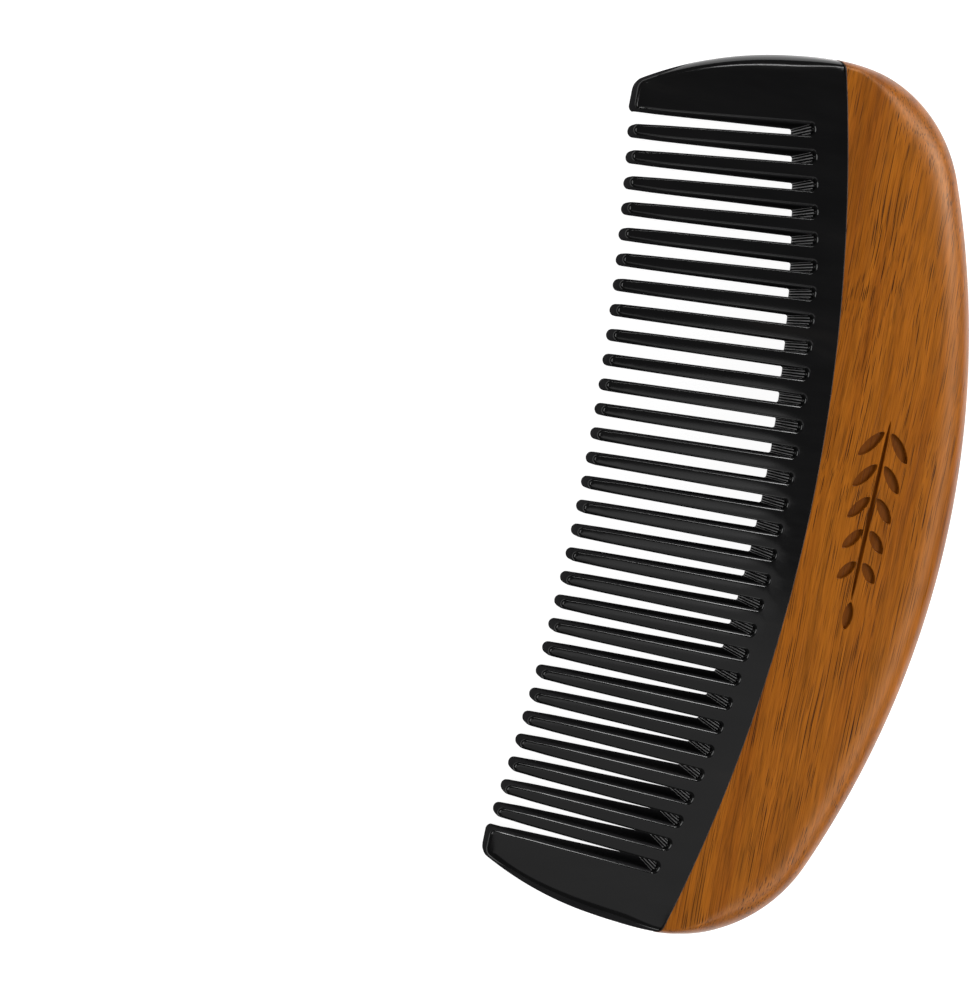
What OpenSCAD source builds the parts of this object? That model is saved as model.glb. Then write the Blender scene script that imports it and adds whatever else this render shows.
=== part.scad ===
// Two-tone beard comb, lying flat on its back face.
// X runs along the comb, +Y points to the wooden spine, the teeth point to -Y and +Z is up.
// The origin is the centre of the bounding box, on the surface that the comb lies on.
// Depths are measured from the crown of the spine towards the teeth.

/* [Overall] */
// Length from end to end
comb_length = 110; // [105:1:115]
// Width from the crown of the spine to the guard tips
comb_width = 55; // [54.5:0.5:56]
// Thickness of the spine and of the root of the tooth plate
thickness = 6.6; // [6:0.2:8]

/* [Outline] */
// Radius of the long arc of the spine
spine_radius = 103.5; // [99:0.5:112]
// Depth at which the comb is longest
waist_depth = 26.3; // [25:0.1:27]
// Radius of the outer edge of each guard
guard_radius = 52.5; // [49:0.5:55]
// Radius of the outer corner of a guard tip
guard_tip_radius = 1.6; // [1.2:0.1:1.8]
// Radius of the inner corner of a guard tip
guard_inner_radius = 0.7; // [0.4:0.1:0.9]

/* [Joint] */
// Depth of the middle of the joint between wood and tooth plate
joint_depth = 22.5; // [21.5:0.1:23]
// Radius of the joint line
joint_radius = 183.5; // [178:0.5:200]
// Thickness of the glue film
film_thickness = 0.1; // [0.08:0.01:0.2]
// Thickness of the hidden tongue
tongue_thickness = 2.4; // [2:0.1:3]
// How far the tongue reaches into the wood
tongue_reach = 5; // [3:0.5:6]
// Half the length of the tongue, which stops short of both ends
tongue_half_length = 42; // [30:1:44]

/* [Teeth] */
// Number of slots, one more than the number of teeth
slot_count = 30; // [30:1:30]
// Angle between neighbouring slots, in degrees
slot_angle = 0.618; // [0.605:0.001:0.62]
// Depth of the point that all slots aim at
fan_depth = 323; // [318:1:324]
// Depth of the slot ends at the middle of the comb
slot_end_depth = 25.9; // [25.2:0.1:26.4]
// Radius of the line of slot ends
slot_end_radius = 158; // [150:1:165]
// Width of a slot at its closed end
slot_end_width = 1.3; // [1:0.05:1.4]
// Width of a slot at its mouth
slot_mouth_width = 1.5; // [1.2:0.05:1.6]
// Depth of the tooth tips at the middle of the comb
tip_depth = 51.5; // [50.5:0.1:51.5]
// Radius of the line of tooth tips
tip_radius = 280; // [280:2:310]
// Thickness of the plate at the guard tips
tip_thickness = 2.2; // [1.8:0.1:3]
// Depth at which the plate starts to thin
taper_depth = 27.5; // [27:0.5:29]

/* [Rounding] */
// Width of the round-over along the spine
spine_round = 6.5; // [4:0.5:7]
// Width of the round-over where the wood meets the guards
end_round = 1.6; // [1:0.1:2.5]

/* [Hidden] */
eps = 0.01;
crown_y = comb_width / 2;
mid_z = thickness / 2;
half_length = comb_length / 2;
waist_y = crown_y - waist_depth;
spine_centre_y = crown_y - spine_radius;
joint_centre_y = crown_y - joint_depth - joint_radius;
fan_y = crown_y - fan_depth;
slot_end_centre_y = crown_y - slot_end_depth - slot_end_radius;
tip_centre_y = crown_y - tip_depth - tip_radius;
taper_y = crown_y - taper_depth;
end_y = -comb_width / 2;
guard_centre_x = half_length - guard_radius;
// The corner arc touches the end of the comb at the waist and the spine arc from inside.
waist_drop = waist_y - spine_centre_y;
corner_radius = (spine_radius ^ 2 - waist_drop ^ 2 - half_length ^ 2) / (2 * (spine_radius - half_length));
corner_centre_x = half_length - corner_radius;
corner_angle = atan2(waist_drop, corner_centre_x);
blank_low_angle = 10;
// Rings from the lower to the upper face
ring_count = 6;
ring_height = 0.01;
corner_steps = 14;
spine_steps = 12;
guard_steps = 16;
tip_steps = 10;
big_circle = 720;
reach = 80;

function smooth(t) = t * t * (3 - 2 * t);
function polar(centre, radius, angle) = centre + radius * [cos(angle), sin(angle)];
// Height of a ring, from -1 at the lower face to 1 at the upper face
function ring_level(k) = sin(90 * k / ring_count);
// Distance of a ring from the outline, for a round-over of this width
function ring_inset(k, width) = width * (1 - sqrt(1 - ring_level(k) ^ 2));

// Right half of the outline at one level, from below the joint up to the crown
function half_ring(k) = concat(
    [for (i = [0:2])
        let (angle = -blank_low_angle * (1 - i / 3))
        polar([guard_centre_x, waist_y], guard_radius - ring_inset(k, end_round), angle)],
    [for (i = [0:corner_steps])
        let (t = i / corner_steps)
        let (width = end_round + (spine_round - end_round) * smooth(t))
        polar([corner_centre_x, waist_y], corner_radius - ring_inset(k, width), corner_angle * t)],
    [for (i = [1:spine_steps])
        let (angle = corner_angle + (90 - corner_angle) * i / spine_steps)
        polar([0, spine_centre_y], spine_radius - ring_inset(k, spine_round), angle)]
);
function mirrored(points) = [for (i = [len(points) - 1:-1:0]) [-points[i].x, points[i].y]];

// Rounded solid of the wooden end of the comb, before the joint is cut
module spine_blank() {
    hull()
    for (k = [-ring_count:ring_count]) {
        ring = half_ring(k);
        translate([0, 0, mid_z + (mid_z - ring_height / 2) * ring_level(k) - ring_height / 2])
        linear_extrude(ring_height) polygon(concat(ring, mirrored(ring)));
    }
}

// Everything on the tooth side of the joint line, grown by a margin
module joint_side(margin) {
    translate([0, joint_centre_y, -eps])
    cylinder(r = joint_radius + margin, h = thickness + 2 * eps, $fn = big_circle);
}

// The tongue, grown by a margin on every side
module tongue(margin) {
    height = tongue_thickness + 2 * margin;
    half_run = tongue_half_length + margin;
    intersection() {
        translate([0, joint_centre_y, mid_z - height / 2])
        cylinder(r = joint_radius + tongue_reach + margin, h = height, $fn = big_circle);
        translate([-half_run, taper_y, 0])
        cube([2 * half_run, comb_width, thickness]);
    }
}

// Wooden back with its round-over and the groove for the tongue
module wooden_spine() {
    color("peru")
    difference() {
        spine_blank();
        joint_side(film_thickness);
        tongue(film_thickness);
    }
}

// Film of glue between the wood and the tooth plate
module adhesive_film() {
    color("saddlebrown")
    difference() {
        union() {
            intersection() {
                spine_blank();
                joint_side(film_thickness);
            }
            tongue(film_thickness);
        }
        joint_side(0);
        tongue(0);
    }
}

// Side view of the plate: full thickness at the root and thin at the tips
module taper() {
    rotate([90, 0, 90])
    translate([0, 0, -reach])
    linear_extrude(2 * reach)
    polygon([
        [crown_y, 0],
        [crown_y, thickness],
        [taper_y, thickness],
        [end_y, mid_z + tip_thickness / 2],
        [end_y, mid_z - tip_thickness / 2],
        [taper_y, 0]
    ]);
}

// Distance from the fan point, along a direction, to an arc centred on the Y axis
function along(angle, centre_y, radius) =
    let (drop = centre_y - fan_y)
    drop * cos(angle) + sqrt(radius ^ 2 - (drop * sin(angle)) ^ 2);
fan_end = along(0, slot_end_centre_y, slot_end_radius);
fan_tip = along(0, tip_centre_y, tip_radius);
// Width of a slot at a distance from the fan point
function slot_width(distance) =
    slot_mouth_width + (slot_end_width - slot_mouth_width) * (distance - fan_tip) / (fan_end - fan_tip);
function tooth_half(distance) = distance * tan(slot_angle / 2) - slot_width(distance) / 2;
outer_slot_angle = (slot_count - 1) / 2 * slot_angle;
// Point on the outer edge of the last slot
function slot_edge(distance) = [
    distance * sin(outer_slot_angle) + slot_width(distance) / 2 * cos(outer_slot_angle),
    fan_y + distance * cos(outer_slot_angle) - slot_width(distance) / 2 * sin(outer_slot_angle)
];

// Guard at the right-hand end, seen from above
guard_tip_angle = asin((comb_width - waist_depth - guard_tip_radius) / (guard_radius - guard_tip_radius));
guard_inner_distance = along(outer_slot_angle, tip_centre_y, tip_radius) + guard_inner_radius;
guard_inner_centre = slot_edge(guard_inner_distance) + [guard_inner_radius, 0];
module guard() {
    hull() {
        polygon(concat(
            [for (i = [0:guard_steps])
                polar([guard_centre_x, waist_y], guard_radius, -guard_tip_angle * i / guard_steps)],
            [slot_edge(guard_inner_distance), slot_edge(fan_end), [slot_edge(fan_end).x, waist_y]]
        ));
        translate(polar([guard_centre_x, waist_y], guard_radius - guard_tip_radius, -guard_tip_angle))
        circle(guard_tip_radius, $fn = 32);
        translate(guard_inner_centre)
        circle(guard_inner_radius, $fn = 32);
    }
}

// Band of the plate between the slot ends and the joint, seen from above
module root_band() {
    ring = half_ring(0);
    difference() {
        polygon(concat(ring, mirrored(ring)));
        translate([0, slot_end_centre_y]) circle(slot_end_radius, $fn = big_circle);
    }
}

// Root band, both guards and the hidden tongue, in one piece
module tooth_plate() {
    color("#1c1c1e") {
        intersection() {
            linear_extrude(thickness) {
                root_band();
                guard();
                mirror([1, 0]) guard();
            }
            joint_side(0);
            taper();
        }
        tongue(0);
    }
}

// One tooth seen from above, on the fan's middle line, with a round tip
module tooth_outline(angle) {
    tip = along(angle, tip_centre_y, tip_radius);
    root = along(angle, slot_end_centre_y, slot_end_radius) + 1;
    radius = tooth_half(tip);
    centre = [0, tip + radius];
    polygon(concat(
        [[tooth_half(root), root], [-tooth_half(root), root]],
        [for (i = [0:tip_steps]) polar(centre, radius, 180 + 180 * i / tip_steps)]
    ));
}

// All teeth, each ending face to face with the root band
module teeth() {
    color("#26262a")
    intersection() {
        translate([0, fan_y, 0])
        linear_extrude(thickness)
        for (i = [1:slot_count - 1]) {
            angle = (i - slot_count / 2) * slot_angle;
            rotate(-angle) tooth_outline(angle);
        }
        translate([0, slot_end_centre_y, -eps])
        cylinder(r = slot_end_radius, h = thickness + 2 * eps, $fn = big_circle);
        taper();
    }
}

wooden_spine();
tooth_plate();
teeth();
adhesive_film();
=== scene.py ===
import math
from collections import namedtuple

import bpy
import numpy as np
from mathutils import Matrix, Vector
from mathutils.geometry import delaunay_2d_cdt


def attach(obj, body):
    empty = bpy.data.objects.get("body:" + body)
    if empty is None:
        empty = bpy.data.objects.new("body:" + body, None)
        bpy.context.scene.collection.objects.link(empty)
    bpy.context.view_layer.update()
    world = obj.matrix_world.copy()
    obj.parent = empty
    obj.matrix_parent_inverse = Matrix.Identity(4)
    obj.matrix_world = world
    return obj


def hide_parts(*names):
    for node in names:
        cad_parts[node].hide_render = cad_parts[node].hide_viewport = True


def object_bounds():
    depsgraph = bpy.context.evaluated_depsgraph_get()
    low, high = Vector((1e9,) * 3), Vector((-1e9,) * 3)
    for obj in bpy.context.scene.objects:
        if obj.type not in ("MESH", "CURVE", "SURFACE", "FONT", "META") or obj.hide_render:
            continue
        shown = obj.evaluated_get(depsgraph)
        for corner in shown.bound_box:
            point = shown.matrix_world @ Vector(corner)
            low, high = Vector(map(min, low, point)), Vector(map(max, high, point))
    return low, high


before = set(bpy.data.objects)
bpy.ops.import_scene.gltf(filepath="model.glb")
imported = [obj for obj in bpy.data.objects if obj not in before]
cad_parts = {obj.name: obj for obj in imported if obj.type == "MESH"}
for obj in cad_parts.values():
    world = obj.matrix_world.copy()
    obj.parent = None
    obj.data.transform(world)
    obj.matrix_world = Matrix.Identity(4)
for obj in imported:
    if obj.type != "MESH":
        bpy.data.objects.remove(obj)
cad_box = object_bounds()

# ---------------------------------------------------------------- dimensions
# Shapes are worked out in millimetres, with z measured from the middle plane.
# Depths are measured from the crown of the spine towards the teeth.
MM = 0.001
CROWN_Y = cad_box[1].y / MM
TIP_Y = cad_box[0].y / MM
HALF_LENGTH = cad_box[1].x / MM
THICKNESS = (cad_box[1].z - cad_box[0].z) / MM
HALF = THICKNESS / 2

WAIST_Y = CROWN_Y - 26.3          # where the comb is longest
SPINE_RADIUS = 103.5
GUARD_RADIUS = 52.5
GUARD_TIP_RADIUS = 1.6
GUARD_INNER_RADIUS = 0.7

JOINT_RADIUS = 183.5
JOINT_CENTRE_Y = CROWN_Y - 22.5 - JOINT_RADIUS
FILM = 0.1                        # thickness of the glue
TONGUE_HALF = 1.2                 # half the tongue's thickness
TONGUE_REACH = 5.0
TONGUE_HALF_LENGTH = 42.0
JOINT_STEPS = 90

SLOT_COUNT = 30
SLOT_ANGLE = math.radians(0.618)
FAN_Y = CROWN_Y - 323.0           # every slot aims at this point
SLOT_END_RADIUS = 158.0
SLOT_END_CENTRE_Y = CROWN_Y - 25.9 - SLOT_END_RADIUS
SLOT_END_WIDTH = 1.3
SLOT_MOUTH_WIDTH = 1.5
TIP_RADIUS = 280.0
TIP_CENTRE_Y = CROWN_Y - 51.5 - TIP_RADIUS
TAPER_Y = CROWN_Y - 27.5
TAPER_START = 3.0                 # length over which the taper sets in
HALF_AT_TIPS = 1.1

# Round-overs: their width seen from above, and their drop down the edge.
EDGE_ROUND = 0.32                 # along the teeth
SLOT_END_LIP = 0.10               # how much wider it is at the middle of a slot's end
TOOTH_SIDE_WIDTH = 0.42           # near a tooth's tip
TOOTH_SIDE_DROP = 0.7
TOOTH_NOSE_WIDTH = 0.5            # at the very tip
TOOTH_NOSE_DROP = 0.95
TOOTH_TIP = 0.85                  # how far the rounding of a tip runs up its tooth
TOOTH_BLEND = 3.5                 # length over which the wider rounding fades
SPINE_ROUND = 6.5                 # along the spine
END_ROUND = 1.6                   # where the wood meets the guards
END_BLEND = 14.0                  # rise over which one becomes the other
END_BLEND_Y = TAPER_Y - 2.5       # where that rise begins
GUARD_ROUND = 2.4                 # greatest width on the guards
GUARD_SWELL = 0.25                # share of a guard's edge over which it grows to that
GUARD_TIP_WIDTHS = (1.1, 0.55)    # round the guard's outer tip corner
GUARD_INNER_WIDTH = 0.5
GUARD_INNER_DROP = 0.9
PLATE_STEPS = 8                   # rows of faces across a round-over
SPINE_STEPS = 12

FRONT_CORNER = 0.60               # plan radius of a slot's inner corners, front and back
BACK_CORNER = 0.30
EDGE_STEPS = 16                   # along one side of a slot
NOSE_STEPS = 14                   # round a tooth's tip
GUARD_STEPS = 44                  # along a guard's outer edge
GUARD_TIP_STEPS = (12, 10)        # round a guard's outer and inner tip corners
SPINE_ARC_STEPS = (8, 40, 44)     # below the waist, round the corner, and up to the crown
FLUTES = 5                        # saw marks across a slot's end
FLUTE_STEPS = 6
FLUTE_DEPTH = 0.06
WALL_LEVELS = (0.93, 0.0, -0.93)

PLATE_FILL = 1.6                  # distance between the points that fill a flat face
SPINE_FILL = 2.0
FILL_ROWS = 0.87                  # distance between their rows, as a share of that
FILL_MARGIN = 0.45                # how far they keep from the border, as a share of that
CUT_MARGIN = 0.25                 # how far they keep from an engraved outline

SAWN = -1.0                       # marks an edge point on a plain saw-cut flank
MATTE_GUARD = 1.5                 # how much higher the matte part of the right guard's rim reaches
MATTE_RISE = (1.0, 3.0)           # height above the tips where it starts to, and the run it takes
MATTE_FADE = (9.0, 7.0)           # height where the left guard's matte part ends, and its run
MATTE_LEAST = 0.05                # a smaller matte part than this is left out
SAWN_PART = 1                     # material slots of the plate: 0 is polished
SCORED_PART = 2

WAIST_DROP = WAIST_Y - (CROWN_Y - SPINE_RADIUS)
CORNER_RADIUS = (SPINE_RADIUS ** 2 - WAIST_DROP ** 2 - HALF_LENGTH ** 2) / (
    2 * (SPINE_RADIUS - HALF_LENGTH))
CORNER_ANGLE = math.atan2(WAIST_DROP, HALF_LENGTH - CORNER_RADIUS)


def vec(x, y):
    return np.array([x, y], float)


FAN = vec(0, FAN_Y)
JOINT_CENTRE = vec(0, JOINT_CENTRE_Y)
GUARD_CENTRE = vec(HALF_LENGTH - GUARD_RADIUS, WAIST_Y)


def smooth(t):
    t = min(max(t, 0.0), 1.0)
    return t * t * (3 - 2 * t)


def mix(a, b, t):
    return a + (b - a) * t


def half_at(y):
    """Half thickness of the tooth plate, thinning evenly towards the tips after a gentle start."""
    depth = TAPER_Y + TAPER_START / 2 - y
    if depth <= 0:
        return HALF
    run = depth ** 2 / (2 * TAPER_START) if depth < TAPER_START else depth - TAPER_START / 2
    return HALF - (HALF - HALF_AT_TIPS) * run / (TAPER_Y - TIP_Y)


def half_of_spine(y):
    return HALF


# ---------------------------------------------------------------- mesh making
class Shell:
    """Collects faces by corner position, so that faces which meet share vertices."""

    def __init__(self):
        self.index = {}
        self.points = []
        self.faces = []
        self.marks = {}
        self.parts = {}

    def corner(self, point, mark=0.0):
        key = tuple(round(float(c), 5) for c in point)
        if key not in self.index:
            self.index[key] = len(self.points)
            self.points.append(key)
        i = self.index[key]
        if mark:
            self.marks[i] = mark
        return i

    def face(self, points, flip=False, part=0):
        """Adds a face, leaving out corners that fall together. part is its material slot."""
        loop = []
        for p in points:
            i = p if isinstance(p, int) else self.corner(p)
            if not loop or loop[-1] != i:
                loop.append(i)
        if len(loop) > 1 and loop[0] == loop[-1]:
            loop.pop()
        if len(set(loop)) >= 3 and len(set(loop)) == len(loop):
            if part:
                self.parts[len(self.faces)] = part
            self.faces.append(loop[::-1] if flip else loop)

    def build(self, name, sharp=40):
        mesh = bpy.data.meshes.new(name)
        verts = [(x * MM, y * MM, (z + HALF) * MM) for x, y, z in self.points]
        mesh.from_pydata(verts, [], self.faces)
        mesh.validate()
        attribute = mesh.attributes.new("mark", "FLOAT", "POINT")
        for i, value in self.marks.items():
            attribute.data[i].value = value
        mesh.polygons.foreach_set("use_smooth", [True] * len(mesh.polygons))
        for i, part in self.parts.items():
            mesh.polygons[i].material_index = part
        mesh.update()
        mesh.set_sharp_from_angle(angle=math.radians(sharp))
        piece = bpy.data.objects.new(name, mesh)
        bpy.context.scene.collection.objects.link(piece)
        return piece


# A point on the edge of a piece: its place, the direction into the material, and the width and
# drop of its round-over. cut is the depth of a saw mark, or negative on a plain saw-cut flank.
EdgePoint = namedtuple("EdgePoint", "place inward width drop cut")


class Chain:
    """A run of edge points."""

    def __init__(self):
        self.rows = []

    def add(self, place, inward, width, drop, cut=0.0):
        if self.rows and np.linalg.norm(self.rows[-1].place - place) < 1e-4:
            return
        self.rows.append(EdgePoint(place, inward / np.linalg.norm(inward), width, drop, cut))

    def add_mirrored(self, row, cut):
        self.add(vec(-row.place[0], row.place[1]), vec(-row.inward[0], row.inward[1]),
                 row.width, row.drop, cut)

    def arc(self, centre, radius, start, end, steps, width, drop):
        """Points on an arc; width and drop are functions of t, which runs from 0 to 1."""
        for i in range(steps + 1):
            t = i / steps
            angle = mix(start, end, t)
            out = vec(math.cos(angle), math.sin(angle))
            self.add(centre + radius * out, -out, width(t), drop(t))

    def is_sawn(self, i):
        """Whether the stretch from point i to the next one is a plain saw-cut flank."""
        return self.rows[i].cut < 0 and self.rows[i + 1].cut < 0


def rim_angles(cut, steps):
    """Angles from the rim to the flat face. A sawn rim is matte over its first quarter of steps."""
    split = math.pi / 4 * max(-cut, 0.0)
    knee = max(split, math.pi / 4)
    quarter = steps // 4
    low = [split * k / quarter for k in range(quarter)]
    middle = [mix(split, knee, k / quarter) for k in range(quarter)]
    high = 2 * quarter
    return low + middle + [mix(knee, math.pi / 2, k / high) for k in range(high + 1)]


def rounded_rows(chain, half, steps):
    """For each edge point, its corners from the rim (0) to the flat face (steps)."""
    table = []
    for place, inward, width, drop, cut in chain.rows:
        column = []
        for angle in rim_angles(cut, steps):
            x, y = place + inward * width * (1 - math.cos(angle))
            fall = min(drop, half(place[1])) * (1 - math.sin(angle))
            column.append((x, y, max(half(y) - fall, 0.0)))
        table.append(column)
    return table


def skin_rounding(shell, chain, front, back):
    """The rounded rims of both faces. The lower part of a sawn rim is left matte."""
    steps = len(front[0]) - 1
    for i in range(len(front) - 1):
        matte = steps // 4 if chain.is_sawn(i) else 0
        for k in range(steps):
            part = SAWN_PART if k < matte else 0
            for table, flip in ((front, False), (back, True)):
                quad = [table[i][k], table[i][k + 1], table[i + 1][k + 1], table[i + 1][k]]
                if flip:
                    quad = [(x, y, -z) for x, y, z in quad]
                shell.face(quad, flip, part)


def wall_column(shell, front, back, top, low):
    """Corners down the wall at one edge point, from the front rim to the back rim."""
    column = [shell.corner(top)]
    if top[2] <= 1e-6:
        return column
    flute = max(front.cut, 0.0)
    for level in WALL_LEVELS:
        t = (level + 1) / 2
        x, y = mix(back.place, front.place, t) - mix(back.inward, front.inward, t) * flute
        # the mark is the saw mark's share of its full depth; the slot-end horn paints a highlight where it
        # is high
        column.append(shell.corner((x, y, mix(-low[2], top[2], t)), flute / FLUTE_DEPTH))
    return column + [shell.corner((low[0], low[1], -low[2]))]


def skin_wall(shell, chains, tables):
    """The upright wall between the two rims. Flanks are saw-cut; the slot ends carry saw marks, whose tops
    their material lightens as a painted highlight.
    """
    columns = []
    for front, back, top, low in zip(chains[0].rows, chains[1].rows, *tables):
        columns.append(wall_column(shell, front, back, top[0], low[0]))
    for i, (a, b) in enumerate(zip(columns, columns[1:])):
        part = SAWN_PART if chains[0].is_sawn(i) else SCORED_PART
        if len(a) == len(b):
            for k in range(len(a) - 1):
                shell.face([a[k], b[k], b[k + 1], a[k + 1]], part=part)
        else:
            shell.face([a[0]] + b + a[:0:-1], part=part)


def inside(points, loop):
    """Which points lie inside a closed loop."""
    x, y = points[:, 0], points[:, 1]
    found = np.zeros(len(points), bool)
    for (x0, y0), (x1, y1) in zip(loop, np.roll(loop, -1, axis=0)):
        if y0 == y1:
            continue
        cross = (y0 > y) != (y1 > y)
        found ^= cross & (x < (x1 - x0) * (y - y0) / (y1 - y0) + x0)
    return found


def clearance(points, loop):
    """Distance of each point from a closed loop."""
    best = np.full(len(points), 1e9)
    for p, q in zip(loop, np.roll(loop, -1, axis=0)):
        along = q - p
        t = np.clip(((points - p) @ along) / max(along @ along, 1e-12), 0, 1)
        best = np.minimum(best, np.linalg.norm(points - p - t[:, None] * along, axis=1))
    return best


def fill_grid(ring, spacing):
    """Points that fill the inside of a closed loop evenly, in staggered rows."""
    low, high = ring.min(0), ring.max(0)
    xs = np.arange(low[0], high[0], spacing)
    ys = np.arange(low[1], high[1], spacing * FILL_ROWS)
    grid = np.array([(x + (j % 2) * spacing / 2, y) for j, y in enumerate(ys) for x in xs])
    grid = grid[inside(grid, ring)]
    return grid[clearance(grid, ring) > spacing * FILL_MARGIN]


def engraved_points(grid, cuts, height):
    """Grid points and the cuts' own outlines, as (x, y, z, mark), with the outlines' edges."""
    for closed, _ in cuts:
        grid = grid[clearance(grid, closed) > CUT_MARGIN]
    depth = np.zeros(len(grid))
    for closed, deep in cuts:
        if deep:
            depth[inside(grid, closed)] = deep
    points = [(x, y, height(y) - d, float(d > 0)) for (x, y), d in zip(grid, depth)]
    edges = []
    for closed, deep in cuts:
        start, count = len(points), len(closed)
        points += [(x, y, height(y) - deep, float(deep > 0)) for x, y in closed]
        edges += [(start + i, start + (i + 1) % count) for i in range(count)]
    return points, edges


def fill_face(shell, loop, height, spacing, back=False, cuts=()):
    """Fills the flat part of a face. cuts holds (closed loop, depth) pairs for engraving."""
    ring = np.array([p[:2] for p in loop])
    points, edges = engraved_points(fill_grid(ring, spacing), cuts, height)
    border = list(range(len(points), len(points) + len(loop)))
    points += [(x, y, z, 0.0) for x, y, z in loop]
    flat = [Vector(p[:2]) for p in points]
    spots, _, faces, source, _, _ = delaunay_2d_cdt(flat, edges, [border], 1, 1e-6)
    corners = [points[source[i][0]] if source[i] else (spot.x, spot.y, height(spot.y), 0.0)
               for i, spot in enumerate(spots)]
    side = -1 if back else 1
    for face in faces:
        a, b, c = (corners[i] for i in face[:3])
        upward = (b[0] - a[0]) * (c[1] - a[1]) - (b[1] - a[1]) * (c[0] - a[0]) > 0
        marked = []
        for x, y, z, mark in (corners[i] for i in face):
            marked.append(shell.corner((x, y, side * z), mark))
        shell.face(marked, flip=upward == back)


# ---------------------------------------------------------------- joint line
def joint_point(radius, side):
    """Where the guard arc crosses a joint arc, as an angle on the guard arc."""
    gap = JOINT_CENTRE - GUARD_CENTRE
    span = np.linalg.norm(gap)
    along = (span ** 2 + GUARD_RADIUS ** 2 - radius ** 2) / (2 * span)
    across = math.sqrt(GUARD_RADIUS ** 2 - along ** 2)
    unit = gap / span
    offset = across * vec(-unit[1], unit[0])
    point = GUARD_CENTRE + along * unit + offset
    if point[0] < 0:
        point = point - 2 * offset
    angle = math.atan2(point[1] - WAIST_Y, point[0] - GUARD_CENTRE[0])
    return angle if side > 0 else math.pi - angle


def turn_ends(chain, run=5.0):
    """Near both ends of a chain, turns the inward direction until it follows the joint line."""
    rows = chain.rows
    for order in (range(len(rows)), range(len(rows) - 1, -1, -1)):
        end = rows[order[0]].place
        out = (end - JOINT_CENTRE) / np.linalg.norm(end - JOINT_CENTRE)
        tangent = vec(-out[1], out[0]) * math.copysign(1, end[0])
        for i in order:
            t = smooth(np.linalg.norm(rows[i].place - end) / run)
            if t >= 1:
                break
            turned = mix(tangent, rows[i].inward, t)
            rows[i] = rows[i]._replace(inward=turned / np.linalg.norm(turned))


def joint_run(first, last, radius):
    """Points on a joint arc between two of its points, both included."""
    a = math.atan2(first[1] - JOINT_CENTRE_Y, first[0])
    b = math.atan2(last[1] - JOINT_CENTRE_Y, last[0])
    run = [JOINT_CENTRE + radius * vec(math.cos(t), math.sin(t)) for t in np.linspace(a, b, JOINT_STEPS)]
    run[0] = vec(*first[:2])
    run[-1] = vec(*last[:2])
    return run


def joint_column(place, reach, tongue_half, half_length):
    """Corners down the joint's wall at one of its points, out to the tongue and back."""
    x, y = place
    out = (place - JOINT_CENTRE) / np.linalg.norm(place - JOINT_CENTRE)
    deep_x, deep_y = place + (reach if abs(x) < half_length else 0.0) * out
    return [(x, y, HALF), (x, y, tongue_half), (deep_x, deep_y, tongue_half),
            (deep_x, deep_y, -tongue_half), (x, y, -tongue_half), (x, y, -HALF)]


def skin_joint(shell, run, ends, margin):
    """The wall along the joint with its tongue or groove. ends are the rounded columns beside it.

    The winding suits the wood's groove. On the plate these hidden faces point inwards, and a small
    corner stays open at each end, where the plate's face is already lower than the wall.
    """
    size = (TONGUE_REACH + margin, TONGUE_HALF + margin, TONGUE_HALF_LENGTH + margin)
    columns = [joint_column(place, *size) for place in run]
    for a, b in zip(columns, columns[1:]):
        for k in range(len(a) - 1):
            shell.face([a[k], b[k], b[k + 1], a[k + 1]], flip=True)
    for rounded, wall, flip in ((ends[0], columns[0], True), (ends[1], columns[-1], False)):
        for (x0, y0, z0), (x1, y1, z1) in zip(rounded[:-2], rounded[1:-1]):
            shell.face([(x0, y0, z0), (x1, y1, z1), (x1, y1, -z1), (x0, y0, -z0)], flip=flip)
        x, y, z = rounded[-2]
        shell.face([(x, y, z)] + wall + [(x, y, -z)], flip=flip)


# ---------------------------------------------------------------- outlines
def along_fan(angle, centre_y, radius):
    """Distance from the fan point, along a direction, to an arc centred on the Y axis."""
    drop = centre_y - FAN_Y
    return drop * math.cos(angle) + math.sqrt(radius ** 2 - (drop * math.sin(angle)) ** 2)


FAN_END = along_fan(0, SLOT_END_CENTRE_Y, SLOT_END_RADIUS)
FAN_TIP = along_fan(0, TIP_CENTRE_Y, TIP_RADIUS)


def slot_width(distance):
    return mix(SLOT_MOUTH_WIDTH, SLOT_END_WIDTH, (distance - FAN_TIP) / (FAN_END - FAN_TIP))


def fan_axes(angle):
    """Directions along a slot, towards the spine, and across it, to the right."""
    return vec(math.sin(angle), math.cos(angle)), vec(math.cos(angle), -math.sin(angle))


def slot_angle(i):
    return (i - (SLOT_COUNT - 1) / 2) * SLOT_ANGLE


def guard_width(t):
    """Width of the round-over on a guard's outer edge, from the joint (0) to the tip (1)."""
    if t < GUARD_SWELL:
        return mix(END_ROUND, GUARD_ROUND, smooth(t / GUARD_SWELL))
    return mix(GUARD_ROUND, GUARD_TIP_WIDTHS[0], smooth((t - GUARD_SWELL) / (1 - GUARD_SWELL)))


def whole_drop(t):
    """A round-over that drops right down to the middle plane."""
    return THICKNESS


def guard_tip_arcs():
    """Centres of the guard's two tip corners, and the angles where the outer one starts and ends."""
    start = math.asin((WAIST_Y - TIP_Y - GUARD_TIP_RADIUS) / (GUARD_RADIUS - GUARD_TIP_RADIUS))
    outer = GUARD_CENTRE + (GUARD_RADIUS - GUARD_TIP_RADIUS) * vec(math.cos(start), -math.sin(start))
    angle = slot_angle(SLOT_COUNT - 1)
    up, right = fan_axes(angle)
    distance = along_fan(angle, TIP_CENTRE_Y, TIP_RADIUS) + GUARD_INNER_RADIUS
    inner = FAN + distance * up + (slot_width(distance) / 2 + GUARD_INNER_RADIUS) * right
    # The straight run between the two corners touches both circles.
    gap = inner - outer
    slip = math.asin((GUARD_TIP_RADIUS - GUARD_INNER_RADIUS) / np.linalg.norm(gap))
    turn = math.atan2(gap[1], gap[0]) + math.pi / 2 - slip
    return outer, inner, -start, math.atan2(math.sin(turn), math.cos(turn))


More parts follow.
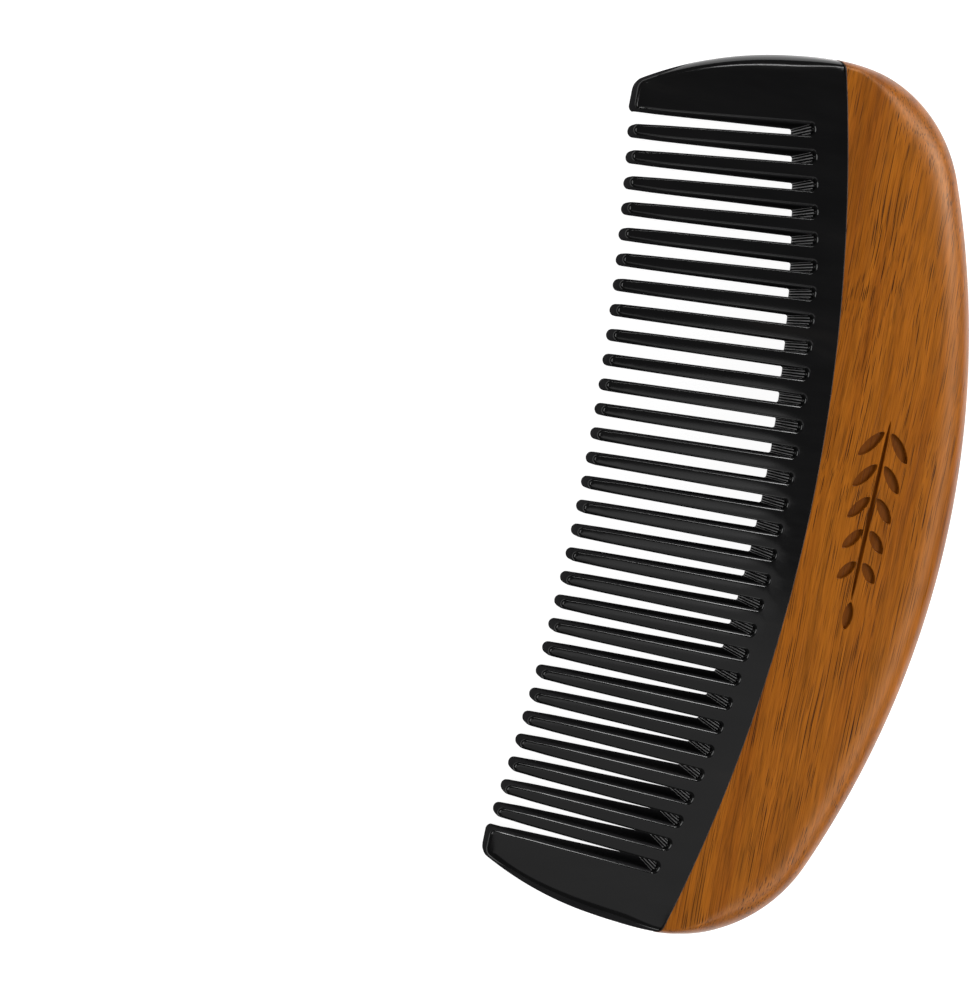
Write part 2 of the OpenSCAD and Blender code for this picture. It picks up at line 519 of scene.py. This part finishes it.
def guard_chain():
    """The right guard's edge, from the joint round the tip to the last slot."""
    outer, inner, start, touch = guard_tip_arcs()
    _, right = fan_axes(slot_angle(SLOT_COUNT - 1))
    end = math.atan2(-right[1], -right[0])
    if end > 0:
        end -= 2 * math.pi
    chain = Chain()
    outer_steps, inner_steps = GUARD_TIP_STEPS
    chain.arc(GUARD_CENTRE, GUARD_RADIUS, joint_point(JOINT_RADIUS, 1), start, GUARD_STEPS,
              guard_width, whole_drop)
    chain.arc(outer, GUARD_TIP_RADIUS, start, touch, outer_steps,
              lambda t: mix(*GUARD_TIP_WIDTHS, t), whole_drop)
    chain.arc(inner, GUARD_INNER_RADIUS, touch, end, inner_steps,
              lambda t: mix(GUARD_INNER_WIDTH, EDGE_ROUND, t),
              lambda t: mix(GUARD_INNER_DROP, EDGE_ROUND, smooth(t)))
    return chain


def add_flank(chain, angle, side, start, end):
    """One side of a slot, between two distances from the fan point."""
    up, right = fan_axes(angle)
    mouth = along_fan(angle, TIP_CENTRE_Y, TIP_RADIUS)
    for k in range(EDGE_STEPS + 1):
        distance = mix(start, end, k / EDGE_STEPS)
        spot = FAN + distance * up + side * slot_width(distance) / 2 * right
        near = 1 - smooth((distance - mouth - TOOTH_TIP) / TOOTH_BLEND)
        width = mix(EDGE_ROUND, TOOTH_SIDE_WIDTH, near)
        drop = mix(EDGE_ROUND, TOOTH_SIDE_DROP, near)
        chain.add(spot, side * right, width, drop, SAWN)


def add_slot_end(chain, angle, distance, corner_radius):
    """The closed end of a slot with its saw marks, from the right to the left."""
    up, right = fan_axes(angle)
    flat = slot_width(distance) / 2 - corner_radius
    run = 2 * flat + math.pi * corner_radius
    samples = FLUTES * FLUTE_STEPS
    for k in range(1, samples):
        at = run * k / samples - run / 2       # along the end wall, from its middle
        bend = max(abs(at) - flat, 0.0) / corner_radius
        side = -math.copysign(1, at)
        out = math.cos(bend) * up + side * math.sin(bend) * right
        corner = FAN + (distance - corner_radius) * up + side * min(abs(at), flat) * right
        flute = FLUTE_DEPTH * math.sin(math.pi * k / FLUTE_STEPS) ** 2
        lip = EDGE_ROUND + SLOT_END_LIP * math.cos(bend)
        chain.add(corner + corner_radius * out, out, lip, lip, flute)


def add_tooth_tip(chain, angle):
    """The round tip of a tooth, from the right to the left."""
    up, right = fan_axes(angle)
    tip = along_fan(angle, TIP_CENTRE_Y, TIP_RADIUS)
    radius = tip * math.tan(SLOT_ANGLE / 2) - slot_width(tip) / 2
    centre = FAN + (tip + radius) * up
    for k in range(1, NOSE_STEPS):
        turn = math.pi * k / NOSE_STEPS
        out = math.cos(turn) * right - math.sin(turn) * up
        width = mix(TOOTH_SIDE_WIDTH, TOOTH_NOSE_WIDTH, math.sin(turn))
        drop = mix(TOOTH_SIDE_DROP, TOOTH_NOSE_DROP, math.sin(turn))
        chain.add(centre + radius * out, -out, width, drop, SAWN)


def plate_chain(corner_radius):
    """The plate's free edge: right guard, slots and teeth from right to left, left guard."""
    guard = guard_chain()
    chain = Chain()
    for row in guard.rows:
        rise = smooth((row.place[1] - TIP_Y - MATTE_RISE[0]) / MATTE_RISE[1])
        chain.add(*row[:4], SAWN * mix(1.0, MATTE_GUARD, rise))
    for i in range(SLOT_COUNT - 1, -1, -1):
        angle = slot_angle(i)
        mouth = along_fan(angle, TIP_CENTRE_Y, TIP_RADIUS)
        end = along_fan(angle, SLOT_END_CENTRE_Y, SLOT_END_RADIUS)
        right_low = mouth + (GUARD_INNER_RADIUS if i == SLOT_COUNT - 1 else TOOTH_TIP)
        left_low = mouth + (GUARD_INNER_RADIUS if i == 0 else TOOTH_TIP)
        add_flank(chain, angle, 1, right_low, end - corner_radius)
        add_slot_end(chain, angle, end, corner_radius)
        add_flank(chain, angle, -1, end - corner_radius, left_low)
        if i > 0:
            add_tooth_tip(chain, (slot_angle(i) + slot_angle(i - 1)) / 2)
    for row in reversed(guard.rows):
        fade = smooth((TIP_Y + MATTE_FADE[0] - row.place[1]) / MATTE_FADE[1])
        chain.add_mirrored(row, SAWN * fade if fade > MATTE_LEAST else 0.0)
    turn_ends(chain)
    return chain


def spine_chain():
    """The wood's free edge, from the left end of the joint over the crown to the right end."""
    def unset(t):
        """Stands in for the width, which follows from each point's height below."""
        return 1.0

    half = Chain()
    low_steps, corner_steps, crown_steps = SPINE_ARC_STEPS
    start = joint_point(JOINT_RADIUS + FILM, -1)
    shoulder = math.pi - CORNER_ANGLE
    half.arc(vec(-GUARD_CENTRE[0], WAIST_Y), GUARD_RADIUS, start, math.pi, low_steps,
             unset, whole_drop)
    half.arc(vec(-(HALF_LENGTH - CORNER_RADIUS), WAIST_Y), CORNER_RADIUS, math.pi, shoulder,
             corner_steps, unset, whole_drop)
    half.arc(vec(0, CROWN_Y - SPINE_RADIUS), SPINE_RADIUS, shoulder, math.pi / 2, crown_steps,
             unset, whole_drop)
    chain = Chain()
    for row in half.rows:
        rise = row.place[1] - END_BLEND_Y
        width = mix(END_ROUND, SPINE_ROUND, smooth(rise / END_BLEND))
        chain.add(row.place, row.inward, width, row.drop)
    for row in reversed(chain.rows[:-1]):
        chain.add_mirrored(row, 0.0)
    turn_ends(chain)
    return chain


# ---------------------------------------------------------------- ornament
SPRIG_AT = vec(-2.6, CROWN_Y - 14.0)
STEM_LENGTH = 23.0
STEM_WIDTH = 0.62
STEM_LEAST = 0.02                 # half the stem's width at its very ends
LEAF_PAIRS = 5
LEAF_WIDTH = 1.5
LEAF_LENGTHS = (4.6, 3.3)         # from the first pair to the last one
LEAF_SPREAD = (-0.40, 0.30)       # where they sit, as a share of the stem
LEAF_LEAN = math.radians(42)
LEAF_SHIFT = 0.9                  # how far a leaf's middle lies ahead of its place on the stem
LEAF_OFFSET = (0.55, 0.33)        # and beside the stem: a distance, plus a share of its length
LEAF_TAPER = 1.3                  # above 1, a leaf's ends are pointed
LEAF_END_INSET = 1.6              # how much more a leaf's floor is shrunk along it than across it
END_LEAF_LENGTH = 3.6
END_LEAF_GAP = 2.0                # from the stem's end to that leaf's middle
ENGRAVE_DEPTH = 0.3
ENGRAVE_SLOPE = 0.09              # how far the floor's outline lies inside the rim's


def leaf_loop(centre, length, angle, inset, steps=9):
    """Outline of a pointed leaf, shrunk by an inset."""
    half, wide = length / 2 - inset * LEAF_END_INSET, LEAF_WIDTH / 2 - inset
    turns = [math.pi * k / steps for k in range(steps + 1)]
    side = [(half * math.cos(turn), wide * math.sin(turn) ** LEAF_TAPER) for turn in turns]
    loop = side + [(x, -y) for x, y in side[-2:0:-1]]
    c, s = math.cos(angle), math.sin(angle)
    return np.array([(centre[0] + x * c - y * s, centre[1] + x * s + y * c) for x, y in loop])


def stem_loop(inset, steps=24):
    """Outline of the stem: a thin bar that tapers to both ends."""
    top = []
    for k in range(steps + 1):
        x = mix(-STEM_LENGTH / 2 + inset, STEM_LENGTH / 2 - inset, k / steps)
        bulge = math.sqrt(max(1 - (2 * x / STEM_LENGTH) ** 4, 0.0))
        top.append((x, max(STEM_WIDTH / 2 * bulge - inset, STEM_LEAST)))
    loop = top + [(x, -y) for x, y in top[::-1]]
    return np.array([(SPRIG_AT[0] + x, SPRIG_AT[1] + y) for x, y in loop])


def sprig():
    """A plain leaf sprig, as (loop, depth) pairs: each shape's rim and its floor."""
    shapes = []
    for inset, depth in ((0.0, 0.0), (ENGRAVE_SLOPE, ENGRAVE_DEPTH)):
        shapes.append((stem_loop(inset), depth))
        for i in range(LEAF_PAIRS):
            t = i / (LEAF_PAIRS - 1)
            x = mix(*LEAF_SPREAD, t) * STEM_LENGTH
            size = mix(*LEAF_LENGTHS, t)
            for side in (1, -1):
                beside = LEAF_OFFSET[0] + size * LEAF_OFFSET[1]
                at = SPRIG_AT + vec(x + LEAF_SHIFT, side * beside)
                shapes.append((leaf_loop(at, size, side * LEAF_LEAN, inset), depth))
        tip = SPRIG_AT + vec(STEM_LENGTH / 2 + END_LEAF_GAP, 0)
        shapes.append((leaf_loop(tip, END_LEAF_LENGTH, 0, inset), depth))
    return shapes


# ---------------------------------------------------------------- pieces
def make_plate():
    shell = Shell()
    chains = [plate_chain(FRONT_CORNER), plate_chain(BACK_CORNER)]
    tables = [rounded_rows(chain, half_at, PLATE_STEPS) for chain in chains]
    skin_rounding(shell, chains[0], *tables)
    skin_wall(shell, chains, tables)
    ends = (tables[0][-1], tables[0][0])
    run = joint_run(ends[0][-1], ends[1][-1], JOINT_RADIUS)
    arc = [(x, y, HALF) for x, y in run[1:-1]]
    for table, back in zip(tables, (False, True)):
        fill_face(shell, [column[-1] for column in table] + arc, half_at, PLATE_FILL, back)
    skin_joint(shell, run, ends, 0.0)
    return shell.build("horn_tooth_plate")


def make_spine():
    shell = Shell()
    chain = spine_chain()
    table = rounded_rows(chain, half_of_spine, SPINE_STEPS)
    skin_rounding(shell, chain, table, table)
    inner = [column[-1] for column in table]
    run = joint_run(inner[0], inner[-1], JOINT_RADIUS + FILM)
    loop = inner + [(x, y, HALF) for x, y in run[-2:0:-1]]
    fill_face(shell, loop, half_of_spine, SPINE_FILL, False, sprig())
    fill_face(shell, loop, half_of_spine, SPINE_FILL, True)
    skin_joint(shell, run, (table[0], table[-1]), FILM)
    return shell.build("wooden_spine_body")


# ---------------------------------------------------------------- material tools
def material(name):
    made = bpy.data.materials.new(name)
    made.use_nodes = True
    tree = made.node_tree
    tree.nodes.clear()
    out = tree.nodes.new("ShaderNodeOutputMaterial")
    shader = tree.nodes.new("ShaderNodeBsdfPrincipled")
    tree.links.new(shader.outputs["BSDF"], out.inputs["Surface"])
    return made, tree, shader


def node(tree, kind, values=(), **settings):
    made = tree.nodes.new(kind)
    for key, value in settings.items():
        setattr(made, key, value)
    for key, value in dict(values).items():
        made.inputs[key].default_value = value
    return made


def link(tree, source, target, out=0, into=0):
    tree.links.new(source.outputs[out], target.inputs[into])
    return target


def ramp(tree, source, stops, out=0):
    """A colour ramp over a source. Each stop is a position with a grey level or a colour."""
    made = node(tree, "ShaderNodeValToRGB")
    link(tree, source, made, out)
    while len(made.color_ramp.elements) < len(stops):
        made.color_ramp.elements.new(0.5)
    for element, (at, colour) in zip(made.color_ramp.elements, stops):
        element.position = at
        grey = isinstance(colour, (int, float))
        element.color = (colour, colour, colour, 1) if grey else (*colour, 1)
    return made


def colour_out(source):
    return source.outputs["Color"] if "Color" in source.outputs else source.outputs[2]


def multiply(tree, a, b):
    made = node(tree, "ShaderNodeMix", {0: 1.0}, data_type="RGBA", blend_type="MULTIPLY")
    tree.links.new(colour_out(a), made.inputs[6])
    tree.links.new(colour_out(b), made.inputs[7])
    return made


def paint_over(tree, under, colour, cover):
    """Covers a colour with a flat one where cover is high."""
    made = node(tree, "ShaderNodeMix", {7: (*colour, 1)}, data_type="RGBA", blend_type="MIX")
    tree.links.new(colour_out(under), made.inputs[6])
    return link(tree, cover, made)


def mark(tree, stops):
    """A ramp over the mark that the mesh carries on engraved floors and on the tops of saw marks; on the
    horn's slot ends it masks a painted highlight.
    """
    return ramp(tree, node(tree, "ShaderNodeAttribute", attribute_name="mark"), stops, "Fac")


def bump(tree, height, strength, distance, under=None):
    made = node(tree, "ShaderNodeBump", {"Strength": strength, "Distance": distance})
    link(tree, height, made, 0, "Height")
    if under is not None:
        link(tree, under, made, 0, "Normal")
    return made


def warped(tree, coordinates, frequency, reach):
    """Coordinates that wander sideways by up to reach, both in millimetres."""
    noise = node(tree, "ShaderNodeTexNoise", {"Scale": frequency / MM, "Detail": 2.0})
    link(tree, coordinates, noise, "Object", "Vector")
    centred = node(tree, "ShaderNodeVectorMath", {1: (0.5, 0.5, 0.5)}, operation="SUBTRACT")
    link(tree, noise, centred, "Color", 0)
    size = (0, reach * MM, reach * MM)
    sized = node(tree, "ShaderNodeVectorMath", {1: size}, operation="MULTIPLY")
    link(tree, centred, sized)
    added = node(tree, "ShaderNodeVectorMath", operation="ADD")
    link(tree, coordinates, added, "Object", 0)
    return link(tree, sized, added, 0, 1)


def stretched(tree, scale, turn=0.0, warp=None):
    """Object coordinates scaled to so many cells a millimetre along X, Y and Z."""
    source, out = node(tree, "ShaderNodeTexCoord"), "Object"
    if warp is not None:
        source, out = warped(tree, source, *warp), 0
    cell = tuple(MM / s for s in scale)
    mapping = node(tree, "ShaderNodeMapping", {"Rotation": (0, 0, turn), "Scale": cell},
                   vector_type="TEXTURE")
    return link(tree, source, mapping, out, "Vector")


# ---------------------------------------------------------------- materials
GRAIN_TURN = math.radians(1)
GRAIN_WARP = (0.03, 2.0)
WOOD_SHADES = (
    (0.32, (0.225, 0.059, 0.0035)),
    (0.46, (0.295, 0.086, 0.0060)),
    (0.58, (0.330, 0.100, 0.0072)),
    (0.72, (0.262, 0.072, 0.0050)),
)
PORE_COLOUR = (0.022, 0.005, 0.001)
BURNT_COLOUR = (0.085, 0.020, 0.002)
SHEEN_COLOUR = (1.0, 0.55, 0.22, 1)


def grain(tree, scale, detail, rough=0.5):
    """Noise that is stretched along the grain of the wood."""
    made = node(tree, "ShaderNodeTexNoise", {"Scale": 1.0, "Detail": detail, "Roughness": rough})
    return link(tree, stretched(tree, scale, GRAIN_TURN, GRAIN_WARP), made, 0, "Vector")


def slits(tree, scale, radius, thin):
    """Thin dark pores, one to a cell of a stretched pattern, each of its own size."""
    cells = node(tree, "ShaderNodeTexVoronoi", {"Scale": 1.0})
    link(tree, stretched(tree, scale, GRAIN_TURN, GRAIN_WARP), cells, 0, "Vector")
    chance = link(tree, cells, node(tree, "ShaderNodeSeparateColor"), "Color")
    size = node(tree, "ShaderNodeMath", {1: 1 - thin, 2: thin}, operation="MULTIPLY_ADD")
    link(tree, chance, size)
    ratio = link(tree, cells, node(tree, "ShaderNodeMath", operation="DIVIDE"), "Distance")
    link(tree, size, ratio, 0, 1)
    return ramp(tree, ratio, [(radius * 0.72, 1.0), (radius, 0.0)])


def combined(tree, operation, a, b):
    made = node(tree, "ShaderNodeMath", operation=operation)
    link(tree, a, made, 0, 0)
    return link(tree, b, made, 0, 1)


def wood_material():
    made, tree, shader = material("oiled_hardwood")
    colour = ramp(tree, grain(tree, (0.010, 0.20, 0.20), 3.0, 0.55), WOOD_SHADES)
    streaks = ramp(tree, grain(tree, (0.030, 1.1, 1.1), 4.0, 0.6), [(0.34, 0.80), (0.5, 1.0), (0.66, 1.10)])
    fibre = ramp(tree, grain(tree, (0.22, 6.5, 6.5), 3.0, 0.6), [(0.32, 0.62), (0.5, 1.0), (0.68, 1.24)])
    colour = multiply(tree, multiply(tree, colour, streaks), fibre)
    short = slits(tree, (0.11, 5.4, 5.4), 0.36, 0.45)
    long = slits(tree, (0.036, 3.7, 3.7), 0.31, 0.50)
    pores = combined(tree, "MAXIMUM", short, long)
    crowd = ramp(tree, grain(tree, (0.03, 0.35, 0.35), 2.0), [(0.38, 0.35), (0.54, 1.0)])
    colour = paint_over(tree, colour, PORE_COLOUR, combined(tree, "MULTIPLY", pores, crowd))
    colour = paint_over(tree, colour, BURNT_COLOUR, mark(tree, [(0.0, 0.0), (1.0, 0.8)]))
    tree.links.new(colour_out(colour), shader.inputs["Base Color"])
    rough = ramp(tree, grain(tree, (0.08, 2.0, 2.0), 3.0), [(0.3, 0.27), (0.7, 0.34)])
    link(tree, rough, shader, 0, "Roughness")
    hollow = node(tree, "ShaderNodeMath", {1: -1.0}, operation="MULTIPLY")
    link(tree, pores, hollow)
    relief = bump(tree, fibre, 0.12, 0.03 * MM, bump(tree, hollow, 0.12, 0.05 * MM))
    link(tree, relief, shader, 0, "Normal")
    shader.inputs["Specular IOR Level"].default_value = 0.22
    shader.inputs["Specular Tint"].default_value = SHEEN_COLOUR
    return made


HORN_SHADES = (
    (0.30, (0.0034, 0.0034, 0.0036)),
    (0.62, (0.0056, 0.0055, 0.0057)),
    (0.80, (0.0092, 0.0085, 0.0080)),
)


def horn_material(name, gloss, rough_low, rough_high, tone=1.0, painted_crest_highlight=0.0):
    """Black horn; gloss is the specular level, and the last value is the grey of a painted highlight along
    the tops of the saw marks.
    """
    made, tree, shader = material(name)
    cloud = node(tree, "ShaderNodeTexNoise", {"Scale": 1.0, "Detail": 4.0, "Roughness": 0.55})
    link(tree, stretched(tree, (0.25, 0.045, 0.25), 0.0, (0.05, 2.0)), cloud, 0, "Vector")
    colour = ramp(tree, cloud, [(at, tuple(c * tone for c in shade)) for at, shade in HORN_SHADES])
    if painted_crest_highlight:
        # painted highlight: the tops of the saw marks are made paler in the colour itself, standing in for
        # light glinting along them
        colour = paint_over(tree, colour, (painted_crest_highlight, painted_crest_highlight, painted_crest_highlight), mark(tree, [(0.5, 0.0), (1.0, 1.0)]))
    tree.links.new(colour_out(colour), shader.inputs["Base Color"])
    wear = node(tree, "ShaderNodeTexNoise", {"Scale": 1.0, "Detail": 3.0})
    link(tree, stretched(tree, (0.9, 0.14, 0.9)), wear, 0, "Vector")
    link(tree, ramp(tree, wear, [(0.3, rough_low), (0.7, rough_high)]), shader, 0, "Roughness")
    fine = node(tree, "ShaderNodeTexNoise", {"Scale": 9.0 / MM, "Detail": 2.0})
    link(tree, node(tree, "ShaderNodeTexCoord"), fine, "Object", "Vector")
    link(tree, bump(tree, fine, 0.05, 0.03 * MM), shader, 0, "Normal")
    shader.inputs["Specular IOR Level"].default_value = gloss
    return made


def adhesive_material():
    made, tree, shader = material("cured_dark_epoxy")
    speck = node(tree, "ShaderNodeTexNoise", {"Scale": 1.2 / MM, "Detail": 2.0})
    link(tree, node(tree, "ShaderNodeTexCoord"), speck, "Object", "Vector")
    colour = ramp(tree, speck, [(0.35, (0.012, 0.007, 0.004)), (0.65, (0.035, 0.017, 0.009))])
    link(tree, colour, shader, 0, "Base Color")
    link(tree, ramp(tree, speck, [(0.3, 0.38), (0.7, 0.55)]), shader, 0, "Roughness")
    return made


# ---------------------------------------------------------------- object
plate = make_plate()
plate.data.materials.append(horn_material("polished_black_horn", 0.45, 0.11, 0.15))
plate.data.materials.append(horn_material("sawn_black_horn", 0.0, 0.60, 0.70, tone=4.0))
# the slot ends' horn carries a painted highlight along the tops of its saw marks
plate.data.materials.append(horn_material("scored_black_horn_painted_highlight", 0.0, 0.50, 0.60, tone=2.0, painted_crest_highlight=0.42))
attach(plate, "root")
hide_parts("tooth_plate", "teeth")

spine = make_spine()
spine.data.materials.append(wood_material())
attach(spine, "root")
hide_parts("wooden_spine")

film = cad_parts["adhesive_film"]
film.data.materials.clear()
film.data.materials.append(adhesive_material())


# ---------------------------------------------------------------- stage
def make_floor():
    far = 12.0
    mesh = bpy.data.meshes.new("floor")
    mesh.from_pydata([(-far, -far, 0), (far, -far, 0), (far, far, 0), (-far, far, 0)], [], [(0, 1, 2, 3)])
    floor = bpy.data.objects.new("floor", mesh)
    bpy.context.scene.collection.objects.link(floor)
    made, _, shader = material("white_sweep")
    shader.inputs["Base Color"].default_value = (0.40, 0.40, 0.40, 1)
    shader.inputs["Roughness"].default_value = 0.9
    shader.inputs["Specular IOR Level"].default_value = 0.1
    shader.inputs["Emission Color"].default_value = (1, 1, 1, 1)
    shader.inputs["Emission Strength"].default_value = 0.93
    mesh.materials.append(made)


def area_light(name, place, size, power, target=(0, 0, 0)):
    data = bpy.data.lights.new(name, "AREA")
    data.shape = "RECTANGLE"
    data.size, data.size_y = size
    data.energy = power
    lamp = bpy.data.objects.new(name, data)
    bpy.context.scene.collection.objects.link(lamp)
    lamp.location = place
    aim = Vector(target) - Vector(place)
    lamp.rotation_euler = aim.to_track_quat("-Z", "Y").to_euler()


def make_lights():
    """Large soft lights for the faces, and strips that draw the thin lines along rounded edges."""
    area_light("spine_strip", (0.0, 0.60, 0.39), (1.30, 0.16), 4.3)
    area_light("crown_box", (-0.34, 0.62, 0.34), (0.20, 0.14), 1.4)
    area_light("overhead_box", (0.0, -0.45, 0.60), (0.50, 0.35), 2.0)
    area_light("upper_strip", (-0.54, 0.31, 0.33), (0.08, 0.40), 1.3)
    area_light("guard_strip", (-0.57, 0.21, 0.41), (0.36, 0.05), 0.55, (-0.05, -0.015, 0.0))
    area_light("lower_strip", (0.57, 0.31, 0.29), (0.10, 0.45), 0.16)
    area_light("lower_panel", (0.30, 0.30, 0.66), (0.44, 0.46), 0.25)
    area_light("teeth_panel", (0.14, 0.10, 0.75), (0.46, 0.10), 0.12)
    world = bpy.data.worlds.new("studio")
    bpy.context.scene.world = world
    world.use_nodes = True
    background = world.node_tree.nodes["Background"]
    background.inputs["Color"].default_value = (1, 1, 1, 1)
    background.inputs["Strength"].default_value = 0.06


def make_camera():
    """The comb seen from the side of its teeth, with its length running down the picture."""
    place = Vector((-0.0104, -0.0839, 0.1490))
    aim = Vector((0.0044, -0.0346, 0.0))
    roll = math.radians(116.8)
    forward = (aim - place).normalized()
    level = forward.cross(Vector((0, 0, 1))).normalized()
    right = math.cos(roll) * level + math.sin(roll) * level.cross(forward)
    axes = Matrix((right, right.cross(forward), -forward)).transposed()
    data = bpy.data.cameras.new("camera")
    data.sensor_fit = "AUTO"
    data.sensor_width = 36.0
    data.lens = 47.7
    data.clip_start = 0.01
    data.clip_end = 20
    camera = bpy.data.objects.new("camera", data)
    bpy.context.scene.collection.objects.link(camera)
    camera.matrix_world = Matrix.Translation(place) @ axes.to_4x4()
    bpy.context.scene.camera = camera


make_floor()
make_lights()
make_camera()
bpy.context.scene.view_settings.view_transform = "Standard"
